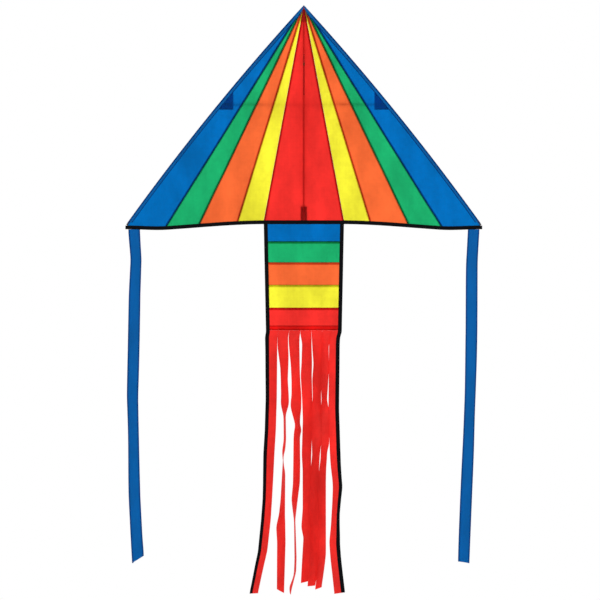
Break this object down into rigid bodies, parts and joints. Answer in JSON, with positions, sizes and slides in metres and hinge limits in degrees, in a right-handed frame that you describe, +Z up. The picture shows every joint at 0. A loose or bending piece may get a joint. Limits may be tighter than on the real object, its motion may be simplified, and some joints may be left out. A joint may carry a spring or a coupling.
{
  "type": "delta kite",
  "caption": "Single-line delta kite with a striped nylon sail, keel with towing eyelet, removable spreader, fringed striped tail and wing-tip streamers.",
  "frame": {"origin": "tip of the nose, in the middle of the sail's cloth", "axes": "+Z up along the spine towards the nose, +Y towards the back of the kite where its rods are, +X towards the kite's right wing tip"},
  "size_m": [1.2152, 0.191, 1.9834],
  "materials": {
    "nylon_blue": "thin glossy ripstop nylon, royal blue",
    "nylon_green": "thin glossy ripstop nylon, mid green",
    "nylon_orange": "thin glossy ripstop nylon, orange",
    "nylon_yellow": "thin glossy ripstop nylon, lemon yellow",
    "nylon_red": "thin glossy ripstop nylon, bright red",
    "ribbon_blue": "hemmed nylon ribbon, blue",
    "patch_blue": "doubled nylon, dark blue",
    "black_tape": "folded woven edge tape, black",
    "fibreglass_rod": "smooth black fibreglass",
    "vinyl_cap": "soft black vinyl",
    "eyelet_brass": "oxidised brass"
  },
  "bodies": {
    "frame": {"red_panel_left": "nylon_red", "red_panel_right": "nylon_red", "spine_rod": "fibreglass_rod", "nose_patch": "black_tape", "spine_pocket_top": "black_tape", "spine_pocket_bottom": "black_tape", "trailing_binding_middle": "black_tape"},
    "keel": {"keel_panel": "nylon_red", "tow_patch_left": "black_tape", "tow_patch_right": "black_tape", "eyelet": "eyelet_brass", "eyelet_washer": "eyelet_brass"},
    "wing_left": {"yellow_gore_left": "nylon_yellow", "orange_gore_left": "nylon_orange", "green_gore_left": "nylon_green", "blue_gore_left": "nylon_blue", "leading_sleeve_left": "nylon_blue", "leading_spar_left": "fibreglass_rod", "spar_cap_left": "vinyl_cap", "trailing_binding_left": "black_tape", "seat_patch_left": "patch_blue", "spreader_seat_left": "patch_blue"},
    "wing_right": {"yellow_gore_right": "nylon_yellow", "orange_gore_right": "nylon_orange", "green_gore_right": "nylon_green", "blue_gore_right": "nylon_blue", "leading_sleeve_right": "nylon_blue", "leading_spar_right": "fibreglass_rod", "spar_cap_right": "vinyl_cap", "trailing_binding_right": "black_tape", "seat_patch_right": "patch_blue", "spreader_seat_right": "patch_blue"},
    "spreader": {"spreader_rod": "fibreglass_rod", "spreader_cap_left": "vinyl_cap", "spreader_cap_right": "vinyl_cap"},
    "streamer_left": {"streamer_left": "ribbon_blue"},
    "streamer_right": {"streamer_right": "ribbon_blue"},
    "tail": {"tail_band_blue": "nylon_blue", "tail_band_green": "nylon_green", "tail_band_orange": "nylon_orange", "tail_band_yellow": "nylon_yellow", "tail_band_red": "nylon_red", "tail_hem": "nylon_red", "tail_tape_left": "black_tape", "tail_tape_right": "black_tape"},
    "fringe_1": {"fringe_strip_1": "nylon_red", "fringe_tape_left": "black_tape"},
    "fringe_2": {"fringe_strip_2": "nylon_red"},
    "fringe_3": {"fringe_strip_3": "nylon_red"},
    "fringe_4": {"fringe_strip_4": "nylon_red"},
    "fringe_5": {"fringe_strip_5": "nylon_red"},
    "fringe_6": {"fringe_strip_6": "nylon_red"},
    "fringe_7": {"fringe_strip_7": "nylon_red", "fringe_tape_right": "black_tape"}
  },
  "joints": [
    {"name": "wing_left_fold", "type": "hinge", "parent": "frame", "child": "wing_left", "pos_m": [0, 0, 0], "axis": [0.1828, 0, 0.9831], "range_deg": [0, 85]},
    {"name": "wing_right_fold", "type": "hinge", "parent": "frame", "child": "wing_right", "pos_m": [0, 0, 0], "axis": [-0.1828, 0, 0.9831], "range_deg": [-85, 0]},
    {"name": "spreader_release", "type": "slide", "parent": "frame", "child": "spreader", "axis": [0, 1, 0], "range_m": [0, 0.06]},
    {"name": "keel_swing", "type": "hinge", "parent": "frame", "child": "keel", "pos_m": [0, -0.0011, -0.383], "axis": [0, 0, 1], "range_deg": [-60, 60]},
    {"name": "streamer_left_swing", "type": "hinge", "parent": "wing_left", "child": "streamer_left", "pos_m": [-0.57767, 0.04521, -0.75364], "axis": [0.9947, -0.1028, 0], "range_deg": [-60, 60]},
    {"name": "streamer_right_swing", "type": "hinge", "parent": "wing_right", "child": "streamer_right", "pos_m": [0.57767, 0.04521, -0.75364], "axis": [0.9947, 0.1028, 0], "range_deg": [-60, 60]},
    {"name": "tail_swing", "type": "hinge", "parent": "frame", "child": "tail", "pos_m": [0, 0, -0.73815], "axis": [-1, 0, 0], "range_deg": [-60, 60]},
    {"name": "fringe_1_swing", "type": "hinge", "parent": "tail", "child": "fringe_1", "pos_m": [0, 0, -1.09665], "axis": [-1, 0, 0], "range_deg": [-40, 40]},
    {"name": "fringe_2_swing", "type": "hinge", "parent": "tail", "child": "fringe_2", "pos_m": [0, 0, -1.09665], "axis": [-1, 0, 0], "range_deg": [-40, 40]},
    {"name": "fringe_3_swing", "type": "hinge", "parent": "tail", "child": "fringe_3", "pos_m": [0, 0, -1.09665], "axis": [-1, 0, 0], "range_deg": [-40, 40]},
    {"name": "fringe_4_swing", "type": "hinge", "parent": "tail", "child": "fringe_4", "pos_m": [0, 0, -1.09665], "axis": [-1, 0, 0], "range_deg": [-40, 40]},
    {"name": "fringe_5_swing", "type": "hinge", "parent": "tail", "child": "fringe_5", "pos_m": [0, 0, -1.09665], "axis": [-1, 0, 0], "range_deg": [-40, 40]},
    {"name": "fringe_6_swing", "type": "hinge", "parent": "tail", "child": "fringe_6", "pos_m": [0, 0, -1.09665], "axis": [-1, 0, 0], "range_deg": [-40, 40]},
    {"name": "fringe_7_swing", "type": "hinge", "parent": "tail", "child": "fringe_7", "pos_m": [0, 0, -1.09665], "axis": [-1, 0, 0], "range_deg": [-40, 40]}
  ]
}
